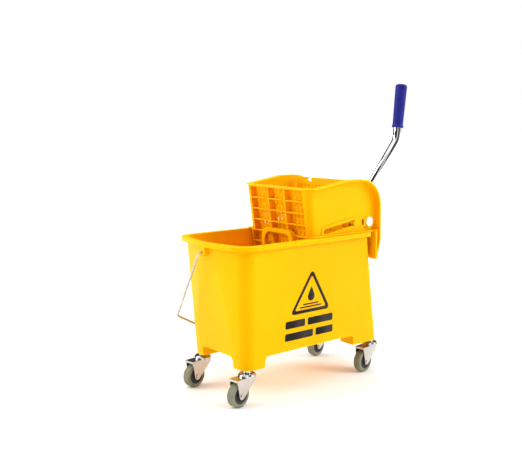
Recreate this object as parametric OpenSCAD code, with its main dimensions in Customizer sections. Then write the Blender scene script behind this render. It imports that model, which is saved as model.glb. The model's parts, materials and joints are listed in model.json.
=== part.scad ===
// Wheeled mop bucket with a side-press wringer.
// +Z is up and +X points to the wringer end. The origin is on the floor, midway between the
// four caster swivel axes.

/* [Bucket] */
// Distance from the front caster axes to the back caster axes
wheel_base = 360; // [320:1:440]
// Distance from the left caster axes to the right caster axes
wheel_track = 157; // [140:1:192]
// How far the foot outline reaches past the front caster axes
foot_over_front = 13; // [12:0.5:20]
// How far the foot outline reaches past the back caster axes
foot_over_back = 10; // [9:0.5:16]
// How far the foot outline reaches past the caster axes on each long side
foot_over_side = 15; // [12:0.5:20]
// Height of the bucket from the feet to the top of the rim
bucket_h = 256; // [214:1:308]
// How far the front wall leans out between the feet and the rim
front_flare = 33; // [22:1:42]
// How far the front wall bows out at the rim
front_bow = 15; // [8:1:25]
// How far each long wall leans out between the feet and the rim
side_flare = 15; // [12:0.5:20]
// How far the back wall leans in between the feet and the rim
back_rake = 50; // [40:1:55]
// Wall thickness of the bucket
bucket_wall = 3; // [2.5:0.1:3.6]
// Height of the feet below the bucket's underside
foot_h = 23.5; // [19:0.5:29]
// Length of a front foot
front_foot_len = 48; // [44:1:60]
// Length of a back foot
back_foot_len = 80; // [60:1:96]
// Width of every foot
foot_w = 40; // [36:1:48]
// How far the rim reaches out past the wall
rim_over = 10; // [8:0.5:12]
// Height of the rim's turned-down lip
rim_lip = 9; // [7:0.5:12]

/* [Casters] */
// Diameter of a caster wheel
wheel_d = 50; // [46:1:54]
// Width of the tyre
tyre_w = 18; // [15:0.5:21]
// Diameter of the hub under the tyre
hub_d = 34; // [28:1:38]
// Distance from the swivel axis to the wheel axle
caster_trail = 26; // [22:1:31]
// Angle that the casters are turned to at rest
caster_swing = 8; // [0:1:20]
// Diameter of the wheel axle
axle_d = 6; // [5:0.5:8]
// Diameter of the swivel dish
dish_d = 37; // [32:1:44]
// Diameter of the stem in its socket
stem_d = 11; // [9:0.5:12]
// Length of the stem above the foot's lower face
stem_len = 18; // [14:1:20]
// Thickness of the fork's sheet steel
fork_t = 2; // [1.6:0.1:2.4]

/* [Wringer] */
// Height of the front edge of the wringer above the rim
wringer_front_h = 102.5; // [90:0.5:120]
// Height of the wringer's top above the rim
wringer_top_h = 117.5; // [105:0.5:135]
// Length of the wringer's side panels
wringer_len = 208; // [196:1:220]
// How far the wringer reaches out behind the bucket's rim
wringer_over_back = 16; // [13:0.5:20]
// Radius of the rounded shoulder
shoulder_r = 60; // [45:1:72]
// Thickness of the wringer's panels
panel_t = 3; // [2.5:0.1:3.6]
// Width of the flange round each side panel
flange_w = 15; // [10:0.5:18]
// Thickness of that flange
flange_t = 4; // [3:0.1:5]
// Depth of the grid on the front wall
grid_depth = 14; // [8:1:18]
// Spacing of the grid's horizontal ribs
grid_pitch = 25; // [21:0.5:30]
// Depth of the press chamber below the rim
chamber_drop = 91; // [76:1:109]

/* [Press] */
// Travel of the press plate along its slots
press_travel = 88; // [80:1:90]
// Slope of the slots below level
slot_slope = 8.6; // [6:0.1:10]
// Thickness of the press plate
plate_t = 5; // [4:0.5:6]
// How far the press plate leans back
plate_lean = 5.5; // [3:0.5:8]
// Diameter of the guide pin on each side of the plate
guide_pin_d = 8; // [6.5:0.1:10]
// Clear height of each side slot
slot_h = 12; // [11:0.5:14]

/* [Lever] */
// Diameter of the pivot shaft
shaft_d = 10; // [8:0.5:12]
// Radius of the crank arms
crank_r = 60; // [56:1:66]
// Angle that the crank arms lean back at rest
crank_lean = 5; // [2:0.5:8]
// Angle that the lever leans back at rest
lever_lean = 40; // [34:1:45]
// Diameter of the lever tube
tube_d = 19; // [16:0.5:22]
// Length of the lever from the pivot to its bend
lever_low = 230; // [190:1:276]
// Length of the lever from the bend to its end
lever_high = 126; // [106:1:151]
// Angle of the upper lever from upright
lever_top_lean = 6; // [0:1:15]
// Length of the grip
grip_len = 101; // [85:1:122]
// Distance of the lever from the middle of the bucket
lever_side = 50; // [42:1:60]

/* [Bail] */
// Diameter of the bail's steel wire
bail_d = 5; // [4:0.1:6]
// Length of the bail's front leg
bail_leg = 167; // [160:1:200]
// Length of the bail's back leg
bail_back_leg = 212; // [206:1:220]
// How far the bail's grip lies beyond its legs
bail_rise = 62; // [55:1:75]
// Angle of the resting bail from straight down
bail_lean = 29.5; // [29:0.5:35]

/* [Fits] */
// Radial running clearance of shafts, pins and wires
run_gap = 0.06; // [0.02:0.01:0.09]
// Clearance between pieces that move past each other
slide_gap = 0.5; // [0.4:0.1:1]

/* [Hidden] */
$fn = 64;
round_fn = 32;
thin = 0.01;

// Bucket heights and outline
foot_z = wheel_d + 21.5;
under_z = foot_z + foot_h;
floor_t = 3;
rim_z = foot_z + bucket_h;
rim_t = 2.5;
half_base = wheel_base / 2;
half_track = wheel_track / 2;
foot_front = -half_base - foot_over_front;
foot_back = half_base + foot_over_back;
foot_half = half_track + foot_over_side;
front_corner_foot = 25;
front_corner_rim = 36;
back_corner = 15;
sill_round = 10;
socket_wall = 3.5;

// Caster stack, from the floor up
axle_z = wheel_d / 2;
dish_z = foot_z - 6.5;
dish_h = 8;
crown_z = dish_z - dish_h;
collar_d = 17;
hub_w = tyre_w + 2;
fork_in = hub_w / 2 + slide_gap;
fork_out = fork_in + fork_t;
king_d = 8;
king_head_d = 14;
king_head_h = 2;
rivet_d = 9;
rivet_h = 1.6;

// Wringer stations across the bucket, measured from its middle
basket_in = 95;
basket_out = basket_in + panel_t;
panel_in = 100;
panel_out = panel_in + panel_t;
flange_out = panel_out + flange_w;
boss_h = 2;

// Wringer heights and lengths
wringer_back_x = foot_back - back_rake + rim_over + wringer_over_back;
wringer_front_x = wringer_back_x - wringer_len;
shelf_z = rim_z + slide_gap;
front_top_z = rim_z + wringer_front_h;
top_z = rim_z + wringer_top_h;
front_lean = 0.143;
front_round = 14;
tail_z = rim_z - 61.5;
tail_x = wringer_back_x - 14.5;
hook_x = wringer_back_x - 8;
hook_top_z = rim_z + 17.5;
basket_back_x = wringer_back_x - 38;
notch_half = 16;

// Pivot, guide pin and crank pin, seen from the side
pivot = [wringer_back_x - 24, rim_z + 22.5];
pin_rest = [wringer_back_x - 69, rim_z + 23.5];
slide_dir = [-cos(slot_slope), -sin(slot_slope)];
pin_end = pin_rest + press_travel * slide_dir;
crank_pin = pivot + crank_r * [sin(crank_lean), cos(crank_lean)];
chamber_z = rim_z - chamber_drop;

// Press plate and linkage stations across the bucket
plate_half = 88;
arm_in = 82;
arm_out = 88;
link_in = 90;
link_out = 94;
link_play = 6.8;
link_extra = 2.2;
link_turn = 4.2;
crank_pin_d = 8;
eye_r = guide_pin_d / 2 + link_play;
hub_r = 15;
arm_r = 9;
plate_top = top_z - 3 - pin_rest[1];
plate_low = pin_rest[1] - chamber_z - 37;
cap_d = 21;
cap_h = 3;

// The link's lower eye is set a little past the guide pin, which shares the error of its swing
link_line = pin_rest - crank_pin;
link_len = norm(link_line) + link_extra;
link_rest = atan2(link_line[1], link_line[0]) + link_turn;
link_eye = crank_pin + link_len * [cos(link_rest), sin(link_rest)];

// Lever
socket_r = tube_d / 2 + 4;
socket_len = 72;
tube_start = hub_r + 1;
tube_wall = 1.5;
bend_r = 40;
lever_dir = [sin(lever_lean), cos(lever_lean)];
top_dir = [sin(lever_top_lean), cos(lever_top_lean)];
knee = pivot + lever_low * lever_dir;
lever_end = knee + lever_high * top_dir;
grip_wall = 3;
grip_end = 4;
bolt_d = 6;
bolt_at = 52;

// Bail
bail_z = rim_z - 21;
bail_boss_d = 18;
front_boss = 10;
back_boss_x = hook_x + 9;
bail_front_x = foot_front - front_flare - rim_over - 5;
bail_back_x = back_boss_x + 17;
bail_shoulder = 99;
bail_back_shoulder = 54;
bail_bend = 5;

// ---- Helpers ----

// Share of the way from the feet to the rim at height z
function rise(z) = (z - foot_z) / bucket_h;

function front_x(z) = foot_front - front_flare * rise(z);
function back_x(z) = foot_back - back_rake * rise(z);
function half_y(z) = foot_half + side_flare * rise(z);
function bow(z) = front_bow * rise(z);
function front_corner(z) = front_corner_foot + (front_corner_rim - front_corner_foot) * rise(z);

// Front edge of the wringer at height z
function grid_x(z) = wringer_front_x + front_lean * (front_top_z - z);

// Top of the press chamber's floor at x
function chamber_floor(x) = chamber_z + 14 + (x - pin_rest[0]) * tan(slot_slope);

// Draws a side-view shape, x along and y up, from y0 to y1 across the bucket
module across(y0, y1) {
    translate([0, y1, 0])
        rotate([90, 0, 0])
            linear_extrude(y1 - y0)
                children();
}

// Repeats its children on both sides of the bucket
module both_sides() {
    children();
    mirror([0, 1, 0])
        children();
}

// A bar with round ends, from a to b
module bar_2d(a, b, r) {
    d = b - a;
    for (p = [a, b])
        translate(p)
            circle(r);
    translate(a)
        rotate(atan2(d[1], d[0]))
            translate([0, -r])
                square([norm(d), 2 * r]);
}

function unit(v) = v / norm(v);
function heading(v) = atan2(v[1], v[0]);

// Angle of the turn at point i of a path, positive to the left, between -180 and 180
function turn_at(points, i) =
    let (a = heading(points[i] - points[i - 1]), b = heading(points[i + 1] - points[i]))
    (b - a + 540) % 360 - 180;

// Points along the bend at point i of a path
function bend_at(points, i, bend) =
    let (
        d = unit(points[i] - points[i - 1]),
        turn = turn_at(points, i),
        side = sign(turn),
        start = points[i] - bend * tan(abs(turn) / 2) * d,
        centre = start + bend * side * [-d[1], d[0]],
        first = heading(d) - 90 * side,
        steps = max(2, round(abs(turn) / 9))
    )
    [for (k = [0 : steps]) centre + bend * [cos(first + turn * k / steps), sin(first + turn * k / steps)]];

// A path with each inner corner rounded
function rounded(points, bend) = concat(
    [points[0]],
    [for (i = [1 : len(points) - 2]) each bend_at(points, i, bend)],
    [points[len(points) - 1]]
);

// Direction of a path at point i
function along(path, i) =
    let (last = len(path) - 1)
    unit(
        (i > 0 ? unit(path[i] - path[i - 1]) : [0, 0])
        + (i < last ? unit(path[i + 1] - path[i]) : [0, 0])
    );

// A round rod along a path in the side view, with x along and y up
module rod(path, r, sides) {
    last = len(path) - 1;
    rings = [
        for (i = [0 : last], k = [0 : sides - 1])
            let (d = along(path, i), out = r * cos(360 * k / sides))
            [path[i][0] - out * d[1], r * sin(360 * k / sides), path[i][1] + out * d[0]]
    ];
    skin = [
        for (i = [0 : last - 1], k = [0 : sides - 1])
            let (a = i * sides, n = (k + 1) % sides)
            [a + k, a + n, a + sides + n, a + sides + k]
    ];
    ends = [
        [for (k = [sides - 1 : -1 : 0]) k],
        [for (k = [0 : sides - 1]) last * sides + k]
    ];
    polyhedron(rings, concat(skin, ends));
}

// ---- Bucket ----

// A slice of the bucket's outline at height z, drawn inwards by inset
module outline(z, inset, h = thin) {
    half = half_y(z) - inset;
    front = front_x(z) + inset;
    corner = front_corner(z) - inset;
    tail_corner = back_corner - inset;
    reach = half - corner * 0.7;
    corner_x = front + bow(z) + corner * 0.9;
    translate([0, 0, z]) {
        for (side = [-1, 1]) {
            translate([corner_x, side * (half - corner), 0])
                cylinder(h = h, r = corner, $fn = round_fn);
            translate([back_x(z) - inset - tail_corner, side * (half - tail_corner), 0])
                cylinder(h = h, r = tail_corner, $fn = round_fn);
        }
        linear_extrude(h)
            polygon([for (s = [-1 : 0.125 : 1]) [front + bow(z) * s * s, reach * s]]);
    }
}

// The bucket's drafted body between two heights
module body(inset, low, high) {
    hull() {
        outline(low, inset);
        outline(high - thin, inset);
    }
}

// A straight band of the outline at the rim
module rim_band(inset, low, high) {
    hull()
        translate([0, 0, low - rim_z])
            outline(rim_z, inset, high - low);
}

// The space under the bucket between two feet, with rounded upper corners
module sill_2d(low, high) {
    h = foot_h;
    translate([low, foot_z - 1]) {
        square([high - low, h + 1 - sill_round]);
        translate([sill_round, 0])
            square([high - low - 2 * sill_round, h + 1]);
        for (x = [sill_round, high - low - sill_round])
            translate([x, h + 1 - sill_round])
                circle(sill_round);
    }
}

// The hollow of one foot, open below
module foot_hollows() {
    low = foot_z - 1;
    inner_y = foot_half - foot_w + bucket_wall;
    intersection() {
        body(bucket_wall, low - 1, under_z);
        both_sides()
            for (x = [[foot_front - 1, front_foot_len + 1 - bucket_wall],
                      [foot_back - back_foot_len + bucket_wall, back_foot_len + 1]])
                translate([x[0], inner_y, low - 1])
                    cube([x[1], foot_w + side_flare, foot_h + 2]);
    }
}

// The socket for one caster stem, standing down from the floor
module stem_socket(x, y) {
    translate([x, y, foot_z])
        cylinder(h = foot_h + thin, d = stem_d + 2 * socket_wall);
}

module bucket() {
    color("gold")
        difference() {
            union() {
                difference() {
                    union() {
                        body(0, foot_z, rim_z);
                        difference() {
                            rim_band(-rim_over, rim_z - rim_lip, rim_z);
                            rim_band(rim_t - rim_over, rim_z - rim_lip - 1, rim_z - rim_t);
                        }
                        bail_bosses();
                    }
                    body(bucket_wall, under_z + floor_t, rim_z + 1);
                    foot_hollows();
                    across(-foot_half - side_flare, foot_half + side_flare)
                        sill_2d(foot_front + front_foot_len, foot_back - back_foot_len);
                    translate([foot_front - front_flare, 0, 0])
                        rotate([0, 0, 90])
                            across(-wheel_base - 2 * front_flare - 60, 0)
                                sill_2d(-foot_half + foot_w, foot_half - foot_w);
                }
                both_sides()
                    for (x = [-half_base, half_base])
                        stem_socket(x, half_track);
            }
            for (x = [-half_base, half_base], y = [-half_track, half_track])
                translate([x, y, foot_z - 1])
                    cylinder(h = stem_len + 1, d = stem_d);
            bail_bores();
        }
}

// Bosses for the bail in the middle of both end walls
module bail_bosses() {
    front_face = front_x(bail_z) - front_boss;
    translate([front_face, 0, bail_z])
        rotate([0, 90, 0])
            cylinder(h = front_boss + bucket_wall, d = bail_boss_d);
    translate([front_face, -bail_boss_d / 2, bail_z])
        cube([front_boss + bucket_wall, bail_boss_d, rim_z - rim_t - bail_z]);
    translate([back_x(bail_z) - bucket_wall, 0, bail_z])
        rotate([0, 90, 0])
            cylinder(h = back_boss_x - back_x(bail_z) + bucket_wall, d = bail_boss_d);
}

module bail_bores() {
    bore_d = bail_d + 2 * run_gap;
    translate([front_x(bail_z) - front_boss - 1, 0, bail_z])
        rotate([0, 90, 0])
            cylinder(h = front_boss + 0.5, d = bore_d);
    translate([back_x(bail_z) + 1, 0, bail_z])
        rotate([0, 90, 0])
            cylinder(h = back_boss_x - back_x(bail_z), d = bore_d);
}

// ---- Bail ----

module bail() {
    r = bail_d / 2;
    far = bail_leg + bail_rise;
    front_end = front_x(bail_z) - front_boss + 8;
    back_end = back_boss_x - 14;
    color("silver")
        translate([0, 0, bail_z])
            rotate([bail_lean, 0, 0]) {
                rod(rounded([
                    [bail_front_x, r],
                    [bail_front_x, -bail_leg],
                    [bail_front_x + bail_shoulder, -far],
                    [bail_back_x - bail_back_shoulder, -far],
                    [bail_back_x, -bail_back_leg],
                    [bail_back_x, r]
                ], bail_bend), r, 12);
                translate([bail_front_x, 0, 0])
                    rotate([0, 90, 0])
                        cylinder(h = front_end - bail_front_x, d = bail_d);
                translate([back_end, 0, 0])
                    rotate([0, 90, 0])
                        cylinder(h = bail_back_x - back_end, d = bail_d);
            }
}

// ---- Casters ----

// Casters 1 and 2 are at the front, 1 and 3 on the near side
function caster_at(i) = [(i < 3 ? -1 : 1) * half_base, (i % 2 == 1 ? -1 : 1) * half_track, 0];

// Moves its children to a caster, with the trail along its own -X
module at_caster(i) {
    translate(caster_at(i))
        rotate([0, 0, caster_swing])
            children();
}

// A disc about the wheel axle, wide in y
module wheel_disc(d, w) {
    translate([-caster_trail, w / 2, axle_z])
        rotate([90, 0, 0])
            cylinder(h = w, d = d);
}

module caster_stem(i) {
    color("silver")
        at_caster(i) {
            translate([0, 0, dish_z + slide_gap])
                cylinder(h = foot_z - dish_z - slide_gap, d = collar_d);
            translate([0, 0, foot_z])
                cylinder(h = stem_len, d = stem_d);
            translate([0, 0, crown_z - slide_gap - king_head_h])
                cylinder(h = dish_z + 2 * slide_gap - crown_z + king_head_h, d = king_d);
            translate([0, 0, crown_z - slide_gap - king_head_h])
                cylinder(h = king_head_h, d = king_head_d);
        }
}

// Side view of the fork's legs
module fork_2d() {
    hull() {
        translate([-caster_trail, axle_z])
            circle(7.5);
        translate([-caster_trail - 12, crown_z - 6])
            square([caster_trail + 24, 6]);
    }
}

module caster_fork(i) {
    crown_half = fork_out;
    color("gainsboro")
        at_caster(i)
            difference() {
                union() {
                    translate([0, 0, dish_z - 3])
                        cylinder(h = 3, d1 = dish_d, d2 = dish_d - 5);
                    translate([0, 0, crown_z])
                        cylinder(h = dish_h - 3, d = dish_d);
                    across(-crown_half, crown_half)
                        fork_2d();
                    translate([-caster_trail - 14, -crown_half, crown_z - fork_t])
                        cube([caster_trail + 14, 2 * crown_half, fork_t + 2]);
                }
                translate([-caster_trail - 60, -fork_in, 0])
                    cube([caster_trail + 60 + dish_d / 2, 2 * fork_in, crown_z - fork_t]);
                translate([0, 0, crown_z - slide_gap - 20])
                    cylinder(h = 20 + slide_gap, d = king_head_d + 2);
                translate([0, 0, crown_z - 1])
                    cylinder(h = dish_h + 2, d = king_d + 2 * run_gap);
                wheel_disc(axle_d, 3 * fork_out);
            }
}

module caster_axle(i) {
    color("silver")
        at_caster(i) {
            wheel_disc(axle_d, 2 * fork_out);
            for (side = [-1, 1])
                translate([0, side * (fork_out + rivet_h / 2), 0])
                    wheel_disc(rivet_d, rivet_h);
        }
}

module caster_hub(i) {
    dish_depth = 3;
    color("dimgray")
        at_caster(i)
            difference() {
                union() {
                    wheel_disc(hub_d, tyre_w);
                    wheel_disc(axle_d + 8, hub_w);
                }
                for (side = [-1, 1])
                    translate([0, side * (tyre_w / 2 - dish_depth / 2 + thin), 0])
                        difference() {
                            wheel_disc(hub_d - 7, dish_depth);
                            wheel_disc(axle_d + 8, dish_depth + 1);
                        }
                wheel_disc(axle_d + 2 * run_gap, hub_w + 1);
            }
}

module caster_tyre(i) {
    round_r = 4;
    hub_r = hub_d / 2;
    half = tyre_w / 2;
    color("gray")
        at_caster(i)
            translate([-caster_trail, 0, axle_z])
                rotate([90, 0, 0])
                    rotate_extrude($fn = 96) {
                        translate([hub_r, -half])
                            square([wheel_d / 2 - hub_r - round_r, tyre_w]);
                        translate([hub_r, round_r - half])
                            square([wheel_d / 2 - hub_r, tyre_w - 2 * round_r]);
                        for (y = [round_r - half, half - round_r])
                            translate([wheel_d / 2 - round_r, y])
                                circle(round_r, $fn = round_fn);
                    }
}

// ---- Wringer housing ----

// Side panel above the shelf
module panel_2d() {
    shoulder = [wringer_back_x - shoulder_r, top_z - shoulder_r];
    polygon(concat(
        [[grid_x(shelf_z) + front_round, shelf_z], [grid_x(front_top_z) + front_round, front_top_z]],
        [[wringer_front_x + 108, top_z - 0.5]],
        [for (a = [90 : -5 : 0]) shoulder + shoulder_r * [cos(a), sin(a)]],
        [[wringer_back_x + 2, rim_z - 19], [wringer_back_x - 10, tail_z]],
        [[tail_x, tail_z], [tail_x, shelf_z]]
    ));
}

// Flange along the top, the shoulder and the back edge
module flange_2d() {
    difference() {
        panel_2d();
        offset(delta = -flange_t)
            panel_2d();
        translate([-3 * flange_t, 0])
            offset(delta = -flange_t)
                panel_2d();
        translate([wringer_front_x, tail_z - 1])
            square([wringer_len - 16 - flange_t, rim_z - tail_z + 18]);
        translate([wringer_front_x, shelf_z])
            square([pin_rest[0] - wringer_front_x, 60]);
    }
}

// Raised land round the slot and the pivot
module land_2d() {
    bar_2d(pin_end, pin_rest, slot_h / 2 + 6);
    bar_2d(pin_rest, pivot, slot_h / 2 + 3);
    translate(pivot)
        circle(cap_d / 2 + 5);
}

module panel_openings() {
    across(panel_in - 1, panel_out + boss_h + 1) {
        bar_2d(pin_end, pin_rest, slot_h / 2);
        translate(pivot - [23.5, 6.5])
            square([8, 13]);
        translate(pivot)
            circle(d = shaft_d);
        for (slit = [[-15, -13], [-16, -21]])
            translate(pivot + slit)
                square([12, 1.5]);
    }
}

module wringer_side() {
    across(panel_in, panel_out)
        panel_2d();
    across(panel_out, flange_out)
        flange_2d();
    across(panel_out, panel_out + boss_h)
        land_2d();
    across(basket_in, basket_out)
        chamber_2d();
    across(basket_in, panel_out + 9)
        shelf_2d();
}

// Side of the press chamber inside the bucket
module chamber_2d() {
    polygon([
        [grid_x(shelf_z), shelf_z + panel_t],
        [basket_back_x, shelf_z + panel_t],
        [basket_back_x, chamber_floor(basket_back_x) - panel_t],
        [grid_x(chamber_z), chamber_floor(grid_x(chamber_z)) - panel_t]
    ]);
}

module shelf_2d() {
    translate([grid_x(shelf_z), shelf_z])
        square([hook_x + panel_t - grid_x(shelf_z), panel_t]);
}

// Slanted sheet of the front wall, set back by depth
module front_2d(depth, t, low, high) {
    polygon([
        [grid_x(low) + depth, low],
        [grid_x(high) + depth, high],
        [grid_x(high) + depth + t, high],
        [grid_x(low) + depth + t, low]
    ]);
}

module front_grid() {
    low = chamber_floor(grid_x(chamber_z)) - panel_t;
    rib_t = 2.5;
    low_post = 4;
    upper = shelf_z;
    lip_half = panel_out - front_round - 1;
    difference() {
        union() {
            across(-panel_in, panel_in)
                front_2d(grid_depth, panel_t, upper, front_top_z);
            across(-basket_in, basket_in)
                front_2d(grid_depth, panel_t, low, upper + panel_t);
        }
        perforations();
    }
    both_sides() {
        corner_post();
        across(basket_out - low_post, basket_out)
            front_2d(0, grid_depth + panel_t, low, upper + panel_t);
        across(27 - rib_t / 2, 27 + rib_t / 2)
            front_2d(0, grid_depth + 1, low, front_top_z);
    }
    for (z = [front_top_z - grid_pitch - 2 : -grid_pitch : low])
        across(z > upper ? front_round - panel_out : -basket_in,
               z > upper ? panel_out - front_round : basket_in)
            front_2d(0, grid_depth + 1, z - rib_t, z);
    across(-lip_half, lip_half)
        front_2d(-1.5, grid_depth + panel_t + 3, front_top_z - 4, front_top_z);
}

// Rounded upright where the front wall meets a side panel
module corner_post() {
    depth = grid_depth + panel_t;
    inner = panel_out - front_round - panel_t;
    round_at = [front_round, panel_out - front_round];
    height = front_top_z - shelf_z;
    intersection() {
        translate([grid_x(shelf_z), 0, shelf_z])
            rotate([0, -atan(front_lean), 0])
                translate([0, 0, -5])
                    linear_extrude(height + 15)
                        polygon(concat(
                            [[0, inner], [depth, inner], [depth, panel_out]],
                            [for (a = [90 : 10 : 180]) round_at + front_round * [cos(a), sin(a)]]
                        ));
        translate([grid_x(front_top_z) - 10, 0, shelf_z])
            cube([depth + 60, panel_out + 1, height]);
    }
}

// Drain holes in the front wall, two rows between each pair of ribs
module perforations() {
    rows = floor((front_top_z - chamber_z) / (grid_pitch / 2)) - 1;
    for (row = [0 : rows - 1], col = [-6.5 : 6.5]) {
        z = front_top_z - grid_pitch * 0.42 - row * grid_pitch / 2;
        if (abs(abs(col * 12) - 27) > 4)
            translate([grid_x(z) + grid_depth - 3, col * 12 - 2.2, z - 4.25])
                cube([panel_t + 6, 4.4, 8.5]);
    }
}

// Chamber floor with drain slots
module chamber_base() {
    front = grid_x(chamber_z);
    slot_step = 16;
    difference() {
        across(-basket_out, basket_out)
            polygon([
                [front, chamber_floor(front)],
                [basket_back_x, chamber_floor(basket_back_x)],
                [basket_back_x, chamber_floor(basket_back_x) - panel_t],
                [front, chamber_floor(front) - panel_t]
            ]);
        for (x = [front + 24 : slot_step : basket_back_x - 10], y = [-60, 0, 60])
            translate([x, y - 22, chamber_z - 30])
                cube([5, 44, 60]);
    }
}

// Saddle over the bucket's back rim, and the wall that hooks behind it
module back_hook() {
    difference() {
        union() {
            translate([basket_back_x - 6, -panel_in, shelf_z])
                cube([hook_x + panel_t - basket_back_x + 6, 2 * panel_in, panel_t]);
            translate([hook_x, -panel_in, tail_z])
                cube([panel_t, 2 * panel_in, hook_top_z - tail_z]);
        }
        translate([hook_x - 2, -notch_half, tail_z - 1])
            cube([panel_t + 4, 2 * notch_half, bail_z - tail_z + notch_half]);
    }
}

// Arched lifting bow low on the front
module lifting_bow() {
    half = 50;
    rise_z = 10;
    band = 8;
    low = rim_z - 30;
    translate([grid_x(rim_z) - 9, 0, 0])
        rotate([0, 0, 90])
            across(-12, 0)
                difference() {
                    bow_2d(half, low, rim_z + rise_z);
                    bow_2d(half - band, low - 1, rim_z + rise_z - band);
                }
}

module bow_2d(half, low, high) {
    r = 18;
    translate([-half, low])
        square([2 * half, high - low - r]);
    translate([r - half, low])
        square([2 * (half - r), high - low]);
    for (x = [r - half, half - r])
        translate([x, high - r])
            circle(r);
}

module wringer_housing() {
    color("gold")
        difference() {
            union() {
                both_sides()
                    wringer_side();
                front_grid();
                chamber_base();
                back_hook();
                lifting_bow();
            }
            both_sides()
                panel_openings();
        }
}

// ---- Press plate ----

// Moves its children to the guide pin, leaning with the plate
module at_plate() {
    translate([pin_rest[0], 0, pin_rest[1]])
        rotate([0, plate_lean, 0])
            children();
}

// Notch for mop strings, with one overhanging side
module string_notch(y) {
    depth = 9;
    width = 15;
    hook = 4;
    translate([-plate_t, y, plate_top]) {
        translate([0, -width / 2, -depth])
            cube([2 * plate_t, width - hook, depth + 1]);
        translate([0, width / 2 - hook - 2, -depth + depth / 2])
            rotate([0, 90, 0])
                cylinder(h = 2 * plate_t, r = depth / 2);
    }
}

module press_plate() {
    rib_depth = 9;
    rib_t = 3;
    boss_r = guide_pin_d / 2 + 6.5;
    color("gold") {
        at_plate()
            difference() {
                union() {
                    translate([-plate_t / 2, -plate_half, -plate_low])
                        cube([plate_t, 2 * plate_half, plate_top + plate_low]);
                    for (y = [-plate_half, -30, 27, plate_half - rib_t])
                        translate([0, y, -plate_low])
                            cube([rib_depth, rib_t, plate_low + plate_top - 14]);
                    for (z = [-plate_low, -46, -2, 40, plate_top - 14 - rib_t])
                        translate([0, -plate_half, z])
                            cube([rib_depth, 2 * plate_half, rib_t]);
                }
                for (z = [-84 : 12 : 76], y = [-72 : 12 : 72])
                    translate([-plate_t, y - 1.6, z - 2.5])
                        cube([2 * plate_t, 3.2, 5]);
                string_notch(-69);
                string_notch(49);
            }
        both_sides()
            across(plate_half - 12, plate_half)
                translate(pin_rest)
                    circle(boss_r);
        both_sides()
            across(plate_half - 6, panel_out + boss_h + 3)
                translate(pin_rest)
                    circle(d = guide_pin_d);
    }
}

module guide_bush() {
    bush_r = slot_h / 2 - slide_gap;
    lip_r = bush_r + 1;
    outside = panel_out + boss_h;
    color("gold")
        difference() {
            union() {
                across(link_out + 1, outside + slide_gap)
                    translate(pin_rest)
                        circle(bush_r);
                across(link_out + 1, panel_in - 1)
                    translate(pin_rest)
                        circle(lip_r);
                across(outside + slide_gap, outside + 2)
                    translate(pin_rest)
                        circle(lip_r);
            }
            across(link_out, outside + 3)
                translate(pin_rest)
                    circle(d = guide_pin_d);
        }
}

module guide_bush_near() {
    mirror([0, 1, 0])
        guide_bush();
}

module guide_bush_far() {
    guide_bush();
}

// ---- Pivot ----

module pivot_shaft() {
    reach = panel_out + boss_h;
    color("silver")
        across(-reach, reach)
            translate(pivot)
                circle(d = shaft_d);
}

module pivot_cap() {
    color("white")
        across(panel_out + boss_h, panel_out + boss_h + cap_h)
            translate(pivot)
                circle(d = cap_d);
}

module pivot_cap_near() {
    mirror([0, 1, 0])
        pivot_cap();
}

module pivot_cap_far() {
    pivot_cap();
}

// ---- Lever ----

// Moves its children to the pivot, with z along the resting lever
module at_lever() {
    translate([pivot[0], -lever_side, pivot[1]])
        rotate([0, lever_lean, 0])
            children();
}

module bolt_hole() {
    translate([0, 0, bolt_at])
        rotate([90, 0, 0])
            cylinder(h = 4 * socket_r, d = bolt_d, center = true);
}

module lever_yoke() {
    color("gold")
        difference() {
            union() {
                across(-arm_out, arm_out)
                    translate(pivot)
                        circle(hub_r);
                both_sides()
                    across(arm_in, arm_out)
                        bar_2d(pivot, crank_pin, arm_r);
                at_lever()
                    cylinder(h = socket_len, r = socket_r);
            }
            across(-arm_out - 1, arm_out + 1)
                translate(pivot)
                    circle(shaft_d / 2 + run_gap);
            both_sides()
                across(arm_in - 1, arm_out + 1)
                    translate(crank_pin)
                        circle(d = crank_pin_d);
            at_lever() {
                translate([0, 0, tube_start])
                    cylinder(h = socket_len, d = tube_d);
                bolt_hole();
            }
        }
}

module lever_tube() {
    r = tube_d / 2;
    sides = 32;
    inside = rounded([pivot, knee, lever_end + top_dir], bend_r);
    color("silver")
        difference() {
            translate([0, -lever_side, 0])
                difference() {
                    rod(rounded([pivot + tube_start * lever_dir, knee, lever_end], bend_r), r, sides);
                    rod(inside, r - tube_wall, sides);
                }
            at_lever()
                bolt_hole();
        }
}

module lever_grip() {
    r = tube_d / 2 + grip_wall;
    color("darkblue")
        translate([lever_end[0], -lever_side, lever_end[1]])
            rotate([0, lever_top_lean, 0])
                translate([0, 0, grip_end - grip_len])
                    difference() {
                        union() {
                            cylinder(h = grip_len, r1 = r, r2 = r + 1);
                            cylinder(h = 5, r = r + 1);
                        }
                        translate([0, 0, -1])
                            cylinder(h = grip_len - grip_end + 1, d = tube_d);
                    }
}

module lever_bolt() {
    color("silver")
        at_lever()
            translate([0, socket_r + 5, bolt_at])
                rotate([90, 0, 0])
                    cylinder(h = 2 * socket_r + 8, d = bolt_d);
    color("silver")
        at_lever()
            translate([0, -socket_r, bolt_at])
                rotate([90, 0, 0])
                    cylinder(h = 4, d = 10, $fn = 6);
}

module lever_nut() {
    color("silver")
        at_lever()
            translate([0, socket_r + 5, bolt_at])
                rotate([90, 0, 0])
                    difference() {
                        cylinder(h = 5, d = 11, $fn = 6);
                        translate([0, 0, -1])
                            cylinder(h = 7, d = bolt_d);
                    }
}

// ---- Links ----

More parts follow.
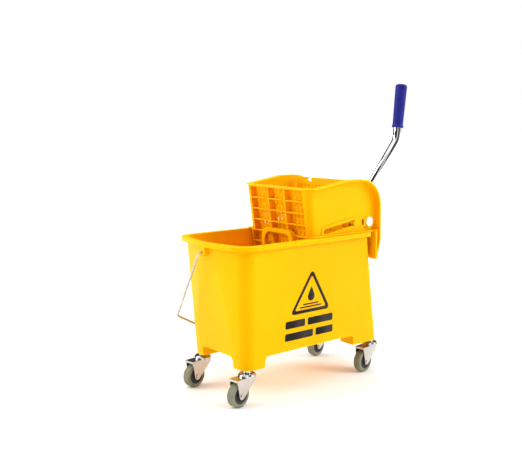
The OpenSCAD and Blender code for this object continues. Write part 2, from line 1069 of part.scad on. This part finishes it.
module crank_pin() {
    color("silver") {
        across(arm_in, link_out + 1)
            translate(crank_pin)
                circle(d = crank_pin_d);
        across(link_out + slide_gap, link_out + 2.5)
            translate(crank_pin)
                circle(crank_pin_d / 2 + 2.5);
    }
}

module crank_pin_near() {
    mirror([0, 1, 0])
        crank_pin();
}

module crank_pin_far() {
    crank_pin();
}

module link() {
    color("gold")
        across(link_in, link_out)
            difference() {
                union() {
                    bar_2d(crank_pin, link_eye, 7);
                    translate(link_eye)
                        circle(eye_r + 4);
                    translate(crank_pin)
                        circle(9);
                }
                translate(link_eye)
                    circle(eye_r);
                translate(crank_pin)
                    circle(crank_pin_d / 2 + run_gap);
            }
}

module link_near() {
    mirror([0, 1, 0])
        link();
}

module link_far() {
    link();
}

bucket();
bail();
caster_stem(1);  // caster_stem_1
caster_stem(2);  // caster_stem_2
caster_stem(3);  // caster_stem_3
caster_stem(4);  // caster_stem_4
caster_fork(1);  // caster_fork_1
caster_fork(2);  // caster_fork_2
caster_fork(3);  // caster_fork_3
caster_fork(4);  // caster_fork_4
caster_axle(1);  // caster_axle_1
caster_axle(2);  // caster_axle_2
caster_axle(3);  // caster_axle_3
caster_axle(4);  // caster_axle_4
caster_hub(1);  // caster_hub_1
caster_hub(2);  // caster_hub_2
caster_hub(3);  // caster_hub_3
caster_hub(4);  // caster_hub_4
caster_tyre(1);  // caster_tyre_1
caster_tyre(2);  // caster_tyre_2
caster_tyre(3);  // caster_tyre_3
caster_tyre(4);  // caster_tyre_4
wringer_housing();
press_plate();
guide_bush_near();
guide_bush_far();
pivot_shaft();
pivot_cap_near();
pivot_cap_far();
lever_yoke();
lever_tube();
lever_grip();
lever_bolt();
lever_nut();
crank_pin_near();
crank_pin_far();
link_near();
link_far();
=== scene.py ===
"""The looks of a wheeled mop bucket with a side-press wringer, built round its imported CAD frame.

Lengths are in metres. +Z is up, +X points to the wringer and -Y is the side with the floor mark.
"""

import json
import math

import bmesh
import bpy
from mathutils import Euler, Matrix, Vector
from mathutils.geometry import tessellate_polygon


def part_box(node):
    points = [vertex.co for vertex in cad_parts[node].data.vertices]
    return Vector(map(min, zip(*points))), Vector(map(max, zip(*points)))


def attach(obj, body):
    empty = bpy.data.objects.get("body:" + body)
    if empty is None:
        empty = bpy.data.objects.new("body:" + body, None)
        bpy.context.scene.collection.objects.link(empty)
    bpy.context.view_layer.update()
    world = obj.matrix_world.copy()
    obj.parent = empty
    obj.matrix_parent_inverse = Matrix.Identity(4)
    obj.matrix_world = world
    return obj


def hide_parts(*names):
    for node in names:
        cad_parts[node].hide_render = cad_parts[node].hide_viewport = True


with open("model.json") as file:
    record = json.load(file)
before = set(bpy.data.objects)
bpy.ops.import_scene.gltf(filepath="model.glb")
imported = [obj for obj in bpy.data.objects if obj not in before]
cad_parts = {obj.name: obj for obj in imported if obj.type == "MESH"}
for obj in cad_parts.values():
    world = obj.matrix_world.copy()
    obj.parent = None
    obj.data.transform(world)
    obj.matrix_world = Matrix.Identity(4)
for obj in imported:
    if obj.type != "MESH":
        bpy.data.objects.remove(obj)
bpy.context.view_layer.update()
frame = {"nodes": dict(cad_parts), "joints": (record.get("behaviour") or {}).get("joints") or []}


# ---- Places taken from the frame ----

def middle(node):
    low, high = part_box(node)
    return (low + high) / 2


def joint(name):
    return next(j for j in frame["joints"] if j["name"] == name)


BUCKET_LOW, BUCKET_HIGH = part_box("bucket")
FOOT_Z = BUCKET_LOW.z
RIM_Z = BUCKET_HIGH.z


# ---- Materials ----

class Finish:
    """A procedural material: a Principled shader and the nodes that feed it."""

    def __init__(self, name, **sockets):
        self.material = bpy.data.materials.new(name)
        self.material.use_nodes = True
        self.tree = self.material.node_tree
        self.shader = self.tree.nodes["Principled BSDF"]
        self.place = self.add("ShaderNodeTexCoord").outputs["Object"]
        for socket, value in sockets.items():
            self.shader.inputs[socket.replace("_", " ")].default_value = value

    def add(self, kind, **values):
        node = self.tree.nodes.new(kind)
        for key, value in values.items():
            setattr(node, key, value)
        return node

    def join(self, source, socket):
        self.tree.links.new(source, socket)

    def noise(self, scale, detail=4.0, roughness=0.55, stretch=(1, 1, 1)):
        mapping = self.add("ShaderNodeMapping")
        mapping.inputs["Scale"].default_value = stretch
        self.join(self.place, mapping.inputs["Vector"])
        node = self.add("ShaderNodeTexNoise")
        node.inputs["Scale"].default_value = scale
        node.inputs["Detail"].default_value = detail
        node.inputs["Roughness"].default_value = roughness
        self.join(mapping.outputs["Vector"], node.inputs["Vector"])
        return node.outputs["Fac"]

    def ramp(self, source, stops):
        node = self.add("ShaderNodeValToRGB")
        ends = node.color_ramp.elements
        while len(ends) < len(stops):
            ends.new(0.5)
        for end, (position, colour) in zip(ends, stops):
            end.position = position
            end.color = (*colour, 1) if len(colour) == 3 else colour
        self.join(source, node.inputs["Fac"])
        return node.outputs["Color"]

    def span(self, source, low, high, start=0.3, stop=0.7):
        """A number that runs from low to high as the source runs from start to stop."""
        node = self.add("ShaderNodeMapRange")
        for socket, value in zip(("From Min", "From Max", "To Min", "To Max"), (start, stop, low, high)):
            node.inputs[socket].default_value = value
        self.join(source, node.inputs["Value"])
        return node.outputs["Result"]

    def mix(self, share, first, second):
        node = self.add("ShaderNodeMix", data_type="RGBA")
        self.join(share, node.inputs["Factor"])
        for source, socket in ((first, node.inputs["A"]), (second, node.inputs["B"])):
            if isinstance(source, tuple):
                socket.default_value = (*source, 1)
            else:
                self.join(source, socket)
        return node.outputs["Result"]

    def colour(self, source):
        self.join(source, self.shader.inputs["Base Color"])

    def roughness(self, source):
        self.join(source, self.shader.inputs["Roughness"])

    def bump(self, heights):
        """Stacks bumps, each a (height source, depth in metres, strength)."""
        last = None
        for source, depth, strength in heights:
            node = self.add("ShaderNodeBump")
            node.inputs["Strength"].default_value = strength
            node.inputs["Distance"].default_value = depth
            self.join(source, node.inputs["Height"])
            if last is not None:
                self.join(last, node.inputs["Normal"])
            last = node.outputs["Normal"]
        self.join(last, self.shader.inputs["Normal"])


def plastic(name, light, deep, rough=(0.34, 0.46), glow=0.35, tint=(1.0, 0.8, 0.15, 1.0)):
    """Moulded polypropylene: slow colour drift, flow marks, orange peel and fine scuffs."""
    finish = Finish(name, Specular_IOR_Level=0.10, Specular_Tint=tint, Subsurface_Weight=glow,
                    Subsurface_Scale=0.012, Subsurface_Radius=(1.0, 0.5, 0.05))
    drift = finish.noise(5.0, detail=3.0)
    flow = finish.noise(14.0, detail=5.0, stretch=(1.0, 1.0, 0.25))
    scuffs = finish.noise(160.0, detail=8.0, roughness=0.7, stretch=(1.0, 1.0, 3.0))
    base = finish.ramp(drift, [(0.3, deep), (0.7, light)])
    worn = tuple(min(1.0, channel * 1.03) for channel in light)
    finish.colour(finish.mix(finish.span(scuffs, 0.0, 0.3, 0.55, 0.8), base, worn))
    finish.roughness(finish.span(scuffs, *rough))
    finish.bump([
        (flow, 0.0006, 0.12),
        (finish.noise(900.0, detail=2.0), 0.0001, 0.18),
    ])
    return finish.material


def plated(name, light, dark, rough, grain=(1, 1, 1), tint_scale=40.0, depth=0.00004):
    """Plated or drawn steel: mottled tint, fine drawing lines and uneven polish."""
    finish = Finish(name, Metallic=1.0)
    mottle = finish.noise(tint_scale, detail=6.0, roughness=0.65)
    lines = finish.noise(300.0, detail=3.0, stretch=grain)
    finish.colour(finish.ramp(mottle, [(0.32, dark), (0.68, light)]))
    finish.roughness(finish.span(lines, *rough))
    finish.bump([(lines, depth, 0.25), (finish.noise(1500.0, detail=1.0), depth, 0.1)])
    return finish.material


def vinyl(name):
    """Dip-moulded vinyl with a pebbled skin and dusty patches."""
    finish = Finish(name, Specular_IOR_Level=0.15)
    dust = finish.noise(30.0, detail=6.0)
    finish.colour(finish.ramp(dust, [(0.3, (0.011, 0.012, 0.16)), (0.75, (0.022, 0.026, 0.27))]))
    finish.roughness(finish.span(dust, 0.32, 0.5))
    finish.bump([(finish.noise(700.0, detail=3.0), 0.0002, 0.25)])
    return finish.material


def rubber(name, light, dark):
    """Moulded thermoplastic rubber: chalky mottling, a pebbled tread and dirt in the low spots."""
    finish = Finish(name, Specular_IOR_Level=0.3)
    chalk = finish.noise(55.0, detail=8.0, roughness=0.65)
    grit = finish.noise(420.0, detail=4.0)
    base = finish.ramp(chalk, [(0.3, dark), (0.7, light)])
    finish.colour(finish.mix(finish.span(grit, 0.0, 0.35, 0.5, 0.75), base, dark))
    finish.roughness(finish.span(chalk, 0.5, 0.72))
    finish.bump([(grit, 0.0002, 0.3), (chalk, 0.0003, 0.12)])
    return finish.material


def ink(name):
    """Screen-printed black: a thin, slightly uneven film."""
    finish = Finish(name, Specular_IOR_Level=0.2)
    film = finish.noise(220.0, detail=6.0, roughness=0.7)
    finish.colour(finish.ramp(film, [(0.25, (0.006, 0.005, 0.004)), (0.8, (0.014, 0.011, 0.008))]))
    finish.roughness(finish.span(film, 0.34, 0.5))
    finish.bump([(film, 0.00005, 0.2)])
    return finish.material


def backdrop(name):
    finish = Finish(name, Specular_IOR_Level=0.2)
    grain = finish.noise(3.0, detail=2.0)
    finish.colour(finish.ramp(grain, [(0.3, (0.93, 0.93, 0.93)), (0.7, (0.95, 0.95, 0.95))]))
    finish.roughness(finish.span(grain, 0.7, 0.8))
    return finish.material


YELLOW = plastic("yellow_plastic", light=(0.99, 0.49, 0.0), deep=(0.96, 0.45, 0.0), glow=0.6)
WHITE = plastic("white_plastic", light=(0.9, 0.9, 0.86), deep=(0.82, 0.82, 0.77), rough=(0.2, 0.3),
                glow=0.1, tint=(1.0, 1.0, 1.0, 1.0))
NAVY = vinyl("navy_vinyl")
CHROME = plated("chrome_tube", (0.86, 0.86, 0.86), (0.7, 0.71, 0.73), (0.06, 0.16), grain=(1, 1, 0.05))
ZINC = plated("zinc_steel", (0.66, 0.65, 0.62), (0.50, 0.49, 0.47), (0.16, 0.26), tint_scale=14.0)
WIRE = plated("bail_wire", (0.66, 0.62, 0.56), (0.42, 0.38, 0.33), (0.22, 0.4), grain=(0.05, 1, 0.05))
HUB = rubber("dark_hub", (0.05, 0.05, 0.052), (0.02, 0.02, 0.021))
TYRE = rubber("olive_tyre", (0.27, 0.28, 0.19), (0.15, 0.155, 0.10))
INK = ink("mark_ink")
FLOOR = backdrop("studio_floor")


# ---- CAD nodes that stay ----

def dress_cad(node, finish, edge, segments=2, perforated=False):
    """Gives a CAD node its finish and soft edges; a perforated one keeps its triangles."""
    obj = frame["nodes"][node]
    obj.data.materials.clear()
    obj.data.materials.append(finish)
    for face in obj.data.polygons:
        face.use_smooth = True
    weld = obj.modifiers.new("weld", "WELD")
    weld.merge_threshold = 0.00001
    if not perforated:
        flat = obj.modifiers.new("flat", "DECIMATE")
        flat.decimate_type = "DISSOLVE"
        flat.angle_limit = math.radians(0.6)
    if edge:
        bevel = obj.modifiers.new("edge", "BEVEL")
        bevel.width = edge
        bevel.segments = segments
        bevel.limit_method = "ANGLE"
        bevel.angle_limit = math.radians(38)
        bevel.harden_normals = False
        bevel.use_clamp_overlap = True
    normals = obj.modifiers.new("normals", "WEIGHTED_NORMAL")
    normals.keep_sharp = True
    normals.weight = 60
    return obj


# ---- Mesh helpers ----

def new_piece(name, mesh, finish, body, replaced=()):
    mesh.materials.append(finish)
    for face in mesh.polygons:
        face.use_smooth = True
    piece = bpy.data.objects.new(name, mesh)
    bpy.context.collection.objects.link(piece)
    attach(piece, body)
    if replaced:
        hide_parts(*replaced)
    return piece


def grid_mesh(name, rings, closed_rings=True, closed_path=False, caps=True):
    """Joins rings of equal length into a tube, with a fan-free cap on each open end."""
    count = len(rings[0])
    verts = [tuple(p) for ring in rings for p in ring]
    faces = []
    path_steps = len(rings) if closed_path else len(rings) - 1
    ring_steps = count if closed_rings else count - 1
    for i in range(path_steps):
        a, b = i * count, ((i + 1) % len(rings)) * count
        for k in range(ring_steps):
            n = (k + 1) % count
            faces.append((a + k, a + n, b + n, b + k))
    if caps and not closed_path:
        faces.append(tuple(range(count - 1, -1, -1)))
        faces.append(tuple((len(rings) - 1) * count + k for k in range(count)))
    mesh = bpy.data.meshes.new(name)
    mesh.from_pydata(verts, [], faces)
    mesh.update()
    return mesh


def lathe(name, profile, place, turns=64, closed=False):
    """Turns a profile of (radius, height) about the local z axis of a matrix."""
    rings = [
        [place @ Vector((r * math.cos(a), r * math.sin(a), h))
         for a in (2 * math.pi * k / turns for k in range(turns))]
        for r, h in profile
    ]
    return grid_mesh(name, rings, closed_path=closed)


def fillet(points, radius, steps=6):
    """Rounds every inner corner of an open path with an arc."""
    path = [Vector(points[0])]
    for before, at, after in zip(points, points[1:], points[2:]):
        at = Vector(at)
        u = (Vector(before) - at).normalized()
        v = (Vector(after) - at).normalized()
        half = u.angle(v) / 2
        if abs(half - math.pi / 2) < 1e-4:
            path.append(at)
            continue
        reach = radius / math.tan(half)
        centre = at + (u + v).normalized() * (radius / math.sin(half))
        start, end = at + u * reach - centre, at + v * reach - centre
        sweep = math.pi - 2 * half
        for k in range(steps + 1):
            share = k / steps
            path.append(centre + (start * math.sin((1 - share) * sweep) + end * math.sin(share * sweep))
                        / math.sin(sweep))
    path.append(Vector(points[-1]))
    return path


def sweep(name, path, radius, sides=24, closed=False):
    """A round tube along a path that lies in one plane."""
    normal = Vector((0, 0, 0))
    for a, b, c in zip(path, path[1:], path[2:]):
        normal += (b - a).cross(c - b)
    normal.normalize()
    rings = []
    count = len(path)
    for i, point in enumerate(path):
        before = path[i - 1] if i or closed else path[0]
        after = path[(i + 1) % count] if i < count - 1 or closed else path[-1]
        along = (after - before).normalized()
        across = along.cross(normal)
        rings.append([point + radius * (math.cos(a) * across + math.sin(a) * normal)
                      for a in (2 * math.pi * k / sides for k in range(sides))])
    return grid_mesh(name, rings, closed_path=closed)


# ---- Bucket, wringer and other moulded CAD pieces ----

dress_cad("bucket", YELLOW, edge=0.0012, segments=3)
dress_cad("wringer_housing", YELLOW, edge=0.0004, perforated=True)
dress_cad("press_plate", YELLOW, edge=0.0004, perforated=True)
dress_cad("lever_yoke", YELLOW, edge=0.0010)
for node in ("guide_bush_near", "guide_bush_far", "link_near", "link_far"):
    dress_cad(node, YELLOW, edge=0.0004)
for node in ("pivot_cap_near", "pivot_cap_far"):
    dress_cad(node, WHITE, edge=0.0010, segments=3)
for node in ("pivot_shaft", "crank_pin_near", "crank_pin_far", "lever_bolt", "lever_nut"):
    dress_cad(node, ZINC, edge=0.0004)
for i in range(1, 5):
    dress_cad(f"caster_stem_{i}", ZINC, edge=0.0005)
    dress_cad(f"caster_fork_{i}", ZINC, edge=0.0005)
    dress_cad(f"caster_axle_{i}", ZINC, edge=0.0005)


# ---- Wheels ----

def on_axis(centre, axis):
    """A matrix whose local z axis runs along an axis through a point."""
    turn = Vector(axis).normalized().to_track_quat("Z", "Y").to_matrix().to_4x4()
    return Matrix.Translation(centre) @ turn


def arc(centre, radius, first, last, steps=6):
    """Points of (radius, height) on an arc between two angles in degrees."""
    angles = (math.radians(first + (last - first) * k / steps) for k in range(steps + 1))
    return [(centre[0] + radius * math.cos(a), centre[1] + radius * math.sin(a)) for a in angles]


def mirrored(half_profile):
    """A closed profile from its upper half."""
    return half_profile + [(r, -h) for r, h in reversed(half_profile)]


def tyre_profile(outer, inner, half):
    round_r = 0.0042
    groove = 0.0006
    tread = [(outer, h * half) for h in (0.42, 0.34)]
    tread += [(outer - groove, h * half) for h in (0.30, 0.24)]
    tread += [(outer, h * half) for h in (0.20, 0.04)]
    wall = [(inner, half * 0.5), (inner, half - 0.0010), (inner + 0.0008, half - 0.0002),
            (inner + 0.0018, half), (inner + 0.0026, half - 0.0006), (inner + 0.0034, half - 0.0002)]
    return mirrored(wall + arc((outer - round_r, half - round_r), round_r, 90, 0) + tread)


def hub_profile(outer, bore, half, boss_half):
    boss = bore + 0.0040
    return mirrored([
        (bore, boss_half * 0.4), (bore, boss_half - 0.0003), (bore + 0.0003, boss_half),
        (boss - 0.0004, boss_half), (boss, boss_half - 0.0004), (boss + 0.0003, half - 0.0028),
        (boss + 0.0010, half - 0.0032), (outer - 0.0048, half - 0.0032), (outer - 0.0042, half - 0.0028),
        (outer - 0.0036, half - 0.0006), (outer - 0.0030, half), (outer - 0.0004, half),
        (outer, half - 0.0004), (outer, half * 0.4),
    ])


TYRE_HALF = 0.009
HUB_R = 0.017
HUB_BORE = 0.00306
HUB_BOSS_HALF = TYRE_HALF + 0.001

for i in range(1, 5):
    spin = joint(f"wheel_spin_{i}")
    centre = middle(f"caster_tyre_{i}")
    at = on_axis(centre, spin["axis"])
    low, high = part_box(f"caster_tyre_{i}")
    tyre_r = (high.z - low.z) / 2
    tyre = lathe(f"tyre_{i}", tyre_profile(tyre_r, HUB_R, TYRE_HALF), at, turns=96, closed=True)
    new_piece(f"tyre_{i}", tyre, TYRE, f"wheel_{i}", [f"caster_tyre_{i}"])
    hub = lathe(f"hub_{i}", hub_profile(HUB_R, HUB_BORE, TYRE_HALF, HUB_BOSS_HALF), at,
                turns=64, closed=True)
    new_piece(f"hub_{i}", hub, HUB, f"wheel_{i}", [f"caster_hub_{i}"])


# ---- Bail ----

BAIL_R = 0.0025
BAIL_LEG = 0.167
BAIL_BACK_LEG = 0.212
BAIL_REACH = 0.229
BAIL_SHOULDER = 0.099
BAIL_BACK_SHOULDER = 0.054
BAIL_LEAN = math.radians(29.5)
BAIL_PIN = (0.014, 0.030)


def bail_mesh():
    low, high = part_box("bail")
    front, back = low.x + BAIL_R, high.x - BAIL_R
    down = Vector((0, math.sin(BAIL_LEAN), -math.cos(BAIL_LEAN)))
    hinge = Vector(joint("bail_swing")["pos_m"])
    stations = [
        (front + BAIL_PIN[0], 0), (front, 0), (front, BAIL_LEG), (front + BAIL_SHOULDER, BAIL_REACH),
        (back - BAIL_BACK_SHOULDER, BAIL_REACH), (back, BAIL_BACK_LEG), (back, 0), (back - BAIL_PIN[1], 0),
    ]
    corners = [Vector((x, 0, hinge.z)) + along * down for x, along in stations]
    return sweep("bail", fillet(corners, 0.006, steps=10), BAIL_R, sides=24)


new_piece("bail_wire", bail_mesh(), WIRE, "bail", ["bail"])


# ---- Lever ----

LEVER_SIDE = -0.050
LEVER_LEAN = math.radians(40)
TOP_LEAN = math.radians(6)
TUBE_R = 0.0095
LEVER_LOW = 0.230
LEVER_HIGH = 0.126
TUBE_START = 0.016
GRIP_LEN = 0.101
GRIP_END = 0.004
PIVOT = Vector(joint("lever_swing")["pos_m"])


def leaning(angle):
    return Vector((math.sin(angle), 0, math.cos(angle)))


def lever_points():
    foot = Vector((PIVOT.x, LEVER_SIDE, PIVOT.z))
    knee = foot + LEVER_LOW * leaning(LEVER_LEAN)
    end = knee + LEVER_HIGH * leaning(TOP_LEAN)
    return [foot + TUBE_START * leaning(LEVER_LEAN), knee, end]


def grip_mesh():
    """A ribbed sleeve that swells to a rounded end, with a bead at its mouth."""
    end = lever_points()[-1]
    place = on_axis(end + (GRIP_END - GRIP_LEN) * leaning(TOP_LEAN), leaning(TOP_LEAN))
    bore = TUBE_R + 0.0001
    mouth = TUBE_R + 0.0040
    body = TUBE_R + 0.0028
    swell = 0.0012
    ribs, rib_depth = 14, 0.00045
    profile = [(bore, 0.004, 0), (bore, 0.0004, 0), (bore + 0.0006, 0, 0), (mouth - 0.0008, 0, 0),
               (mouth, 0.0010, 0), (mouth, 0.0040, 0), (mouth - 0.0006, 0.0052, 0), (body, 0.0062, 0),
               (body, 0.0085, 0), (body, 0.0110, 1)]
    for k in range(1, 9):
        share = k / 9
        profile.append((body + swell * share, 0.011 + (GRIP_LEN - 0.030) * share, 1))
    top = body + swell
    profile += [(top, GRIP_LEN - 0.016, 1), (top, GRIP_LEN - 0.013, 0), (top + 0.0001, GRIP_LEN - 0.006, 0)]
    for k in range(1, 8):
        a = math.radians(90 * k / 8)
        profile.append((top - 0.006 + 0.006 * math.cos(a), GRIP_LEN - 0.006 + 0.006 * math.sin(a), 0))
    profile.append((0.0015, GRIP_LEN, 0))
    turns = 112
    rings = []
    for r, h, ribbed in profile:
        ring = []
        for k in range(turns):
            a = 2 * math.pi * k / turns
            wave = ribbed * rib_depth * (0.5 - 0.5 * math.cos(ribs * a)) ** 2
            ring.append(place @ Vector(((r - wave) * math.cos(a), (r - wave) * math.sin(a), h)))
        rings.append(ring)
    return grid_mesh("grip", rings)


new_piece("lever_bent_tube", sweep("tube", fillet(lever_points(), 0.040, steps=24), TUBE_R, sides=64),
          CHROME, "lever", ["lever_tube"])
new_piece("lever_ribbed_grip", grip_mesh(), NAVY, "lever", ["lever_grip"])


# ---- Pivot caps ----

def cap_profile(radius, height):
    return [(radius - 0.0012, 0.0), (radius, 0.0002), (radius, height * 0.45)] + arc(
        (radius - 0.0012, height * 0.45), 0.0012, 10, 90, 5) + [
        (radius - 0.0022, height * 0.80), (radius - 0.0030, height * 0.66), (radius - 0.0036, height * 0.70),
        (radius * 0.5, height * 0.95), (radius * 0.22, height), (0.0016, height), (0.0011, height * 0.8)]


for side, sign in (("near", -1), ("far", 1)):
    low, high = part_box(f"pivot_cap_{side}")
    seat = Vector((PIVOT.x, low.y if sign > 0 else high.y, PIVOT.z))
    cap = lathe(f"cap_{side}", cap_profile((high.z - low.z) / 2, high.y - low.y), on_axis(seat, (0, sign, 0)))
    new_piece(f"snap_cap_{side}", cap, WHITE, "wringer", [f"pivot_cap_{side}"])


# ---- Floor mark on the near side ----

WALL_HALF_AT_FOOT = 0.0935
WALL_FLARE = 0.015
FILM_T = 0.0003


def on_wall(x, z, stand):
    """A point on the near wall of the bucket, standing off it by stand."""
    rise = (z - FOOT_Z) / (RIM_Z - FOOT_Z)
    return Vector((x, -(WALL_HALF_AT_FOOT + WALL_FLARE * rise) - stand, z))


def rounded_corners(points, radius, steps=5):
    """A closed outline with every corner rounded."""
    count = len(points)
    out = []
    for i in range(count):
        before, at, after = (Vector(points[(i + k) % count]) for k in (-1, 0, 1))
        u, v = (before - at).normalized(), (after - at).normalized()
        half = u.angle(v) / 2
        centre = at + (u + v).normalized() * (radius / math.sin(half))
        start = at + u * (radius / math.tan(half)) - centre
        end = at + v * (radius / math.tan(half)) - centre
        sweep_angle = start.angle(end)
        for k in range(steps + 1):
            share = k / steps
            spot = (start * math.sin((1 - share) * sweep_angle) + end * math.sin(share * sweep_angle))
            out.append(centre + spot / math.sin(sweep_angle))
    return out


def film(name, outlines):
    """A thin printed film: each outline is a list of loops, the first outside and the rest holes."""
    verts, faces = [], []
    for loops in outlines:
        flat = [[Vector((p[0], p[1], 0)) for p in loop] for loop in loops]
        points = [p for loop in flat for p in loop]
        base = len(verts)
        count = len(points)
        for stand in (FILM_T, 0.0):
            verts += [on_wall(p.x, p.y, stand) for p in points]
        for tri in tessellate_polygon(flat):
            a, b, c = (points[k] for k in tri)
            front = tri if (b - a).cross(c - a).z > 0 else tri[::-1]
            faces.append(tuple(base + k for k in front))
            faces.append(tuple(base + count + k for k in reversed(front)))
        first = 0
        for loop in loops:
            for k in range(len(loop)):
                a, b = base + first + k, base + first + (k + 1) % len(loop)
                faces.append((a, b, b + count, a + count))
            first += len(loop)
    mesh = bpy.data.meshes.new(name)
    mesh.from_pydata(verts, [], faces)
    bm = bmesh.new()
    bm.from_mesh(mesh)
    bmesh.ops.recalc_face_normals(bm, faces=bm.faces)
    bm.to_mesh(mesh)
    bm.free()
    return mesh


def mark_outlines():
    """A plain triangle with a drop over two ripples, and two rows of plain bars."""
    centre_x, base_z, top_z, half = -0.0265, 0.171, 0.2635, 0.0565
    corners = [(centre_x - half, base_z), (centre_x + half, base_z), (centre_x, top_z)]
    mid = Vector((centre_x, base_z + (top_z - base_z) * 0.36))
    inner = [mid + (Vector(p) - mid) * 0.79 for p in corners]
    outlines = [[rounded_corners(corners, 0.006), rounded_corners(inner, 0.003)]]
    drop_r, drop_z = 0.0095, base_z + 0.034
    drop = [Vector((centre_x + drop_r * math.cos(a), drop_z + drop_r * math.sin(a)))
            for a in (math.radians(-210 + 240 * k / 24) for k in range(25))]
    drop.append(Vector((centre_x, drop_z + drop_r * 2.3)))
    outlines.append([drop])
    ripple_half = 0.0014
    for half_w, z in ((0.022, base_z + 0.0185), (0.030, base_z + 0.0125)):
        bar = [(centre_x - half_w, z - ripple_half), (centre_x + half_w, z - ripple_half),
               (centre_x + half_w, z + ripple_half), (centre_x - half_w, z + ripple_half)]
        outlines.append([rounded_corners(bar, 0.0012, 4)])
    row_half = 0.0080
    rows = [(0.151, [(-0.068, -0.014), (-0.006, 0.066)]), (0.1245, [(-0.068, 0.010), (0.018, 0.068)])]
    for z, spans in rows:
        for start, stop in spans:
            bar = [(centre_x + start, z - row_half), (centre_x + stop, z - row_half),
                   (centre_x + stop, z + row_half), (centre_x + start, z + row_half)]
            outlines.append([rounded_corners(bar, 0.003)])
    return outlines


new_piece("floor_mark", film("floor_mark", mark_outlines()), INK, "chassis")


# ---- Studio ----

AMBIENT = 1.05
FLOOR_REACH = 60.0

floor_mesh = bpy.data.meshes.new("studio_floor")
floor_corners = [(x * FLOOR_REACH, y * FLOOR_REACH, 0) for x, y in ((-1, -1), (1, -1), (1, 1), (-1, 1))]
floor_mesh.from_pydata(floor_corners, [], [(0, 1, 2, 3)])
floor_mesh.materials.append(FLOOR)
floor = bpy.data.objects.new("studio_floor", floor_mesh)
bpy.context.collection.objects.link(floor)


def studio_world():
    """White to the camera, white with a dark gap to matt pieces, and cards to glossy ones."""
    world = bpy.data.worlds.new("studio")
    bpy.context.scene.world = world
    world.use_nodes = True
    nodes, links = world.node_tree.nodes, world.node_tree.links
    white = nodes["Background"]
    white.inputs["Color"].default_value = (1.0, 1.0, 1.0, 1)
    white.inputs["Strength"].default_value = AMBIENT
    path = nodes.new("ShaderNodeLightPath")
    place = nodes.new("ShaderNodeTexCoord")
    split = nodes.new("ShaderNodeSeparateXYZ")
    links.new(place.outputs["Generated"], split.inputs["Vector"])
    angle = nodes.new("ShaderNodeMath")
    angle.operation = "ARCTAN2"
    links.new(split.outputs["Y"], angle.inputs[0])
    links.new(split.outputs["X"], angle.inputs[1])
    turn = nodes.new("ShaderNodeMapRange")
    turn.inputs["From Min"].default_value = -math.pi
    turn.inputs["From Max"].default_value = math.pi
    links.new(angle.outputs["Value"], turn.inputs["Value"])
    cards = nodes.new("ShaderNodeValToRGB")
    gap = nodes.new("ShaderNodeValToRGB")
    shades = [(0.0, 0.05), (0.135, 0.05), (0.15, 1.0), (0.19, 1.0), (0.205, 0.05), (0.335, 0.05),
              (0.36, 0.70), (0.56, 0.75), (0.60, 0.08), (0.80, 0.04), (1.0, 0.05)]
    fills = [(0.0, 1.0), (0.02, 1.0), (0.06, 0.0), (0.20, 0.0), (0.24, 1.0)]
    for ramp, steps in ((cards, shades), (gap, fills)):
        ends = ramp.color_ramp.elements
        while len(ends) < len(steps):
            ends.new(0.5)
        for end, (position, shade) in zip(ends, steps):
            end.position = position
            end.color = (shade, shade, shade, 1)
        links.new(turn.outputs["Result"], ramp.inputs["Fac"])
    links.new(gap.outputs["Color"], white.inputs["Color"])
    reflected = nodes.new("ShaderNodeBackground")
    links.new(cards.outputs["Color"], reflected.inputs["Color"])
    blend = nodes.new("ShaderNodeMixShader")
    links.new(path.outputs["Is Glossy Ray"], blend.inputs["Fac"])
    links.new(white.outputs["Background"], blend.inputs[1])
    links.new(reflected.outputs["Background"], blend.inputs[2])
    seen = nodes.new("ShaderNodeBackground")
    seen.inputs["Color"].default_value = (1, 1, 1, 1)
    shown = nodes.new("ShaderNodeMixShader")
    links.new(path.outputs["Is Camera Ray"], shown.inputs["Fac"])
    links.new(blend.outputs["Shader"], shown.inputs[1])
    links.new(seen.outputs["Background"], shown.inputs[2])
    links.new(shown.outputs["Shader"], nodes["World Output"].inputs["Surface"])


def sun_light(name, direction, strength, spread):
    light = bpy.data.lights.new(name, "SUN")
    light.energy = strength
    light.angle = math.radians(spread)
    obj = bpy.data.objects.new(name, light)
    obj.rotation_euler = (-Vector(direction)).to_track_quat("-Z", "Y").to_euler()
    bpy.context.collection.objects.link(obj)


studio_world()
sun_light("key", (0.9, -1.0, 0.7), 1.65, 25)
sun_light("fill", (-1.0, 0.75, 0.6), 1.3, 30)
sun_light("top", (-0.35, 0.0, 1.0), 1.2, 70)

bpy.context.scene.view_settings.view_transform = "Standard"

camera = bpy.data.cameras.new("camera")
camera.sensor_width = 36.0
camera.lens = 52.02
camera_object = bpy.data.objects.new("camera", camera)
camera_object.location = (-1.0847, -1.2389, 0.5570)
camera_object.rotation_euler = Euler((math.radians(82.21), 0, math.radians(-39.04)))
bpy.context.collection.objects.link(camera_object)
bpy.context.scene.camera = camera_object
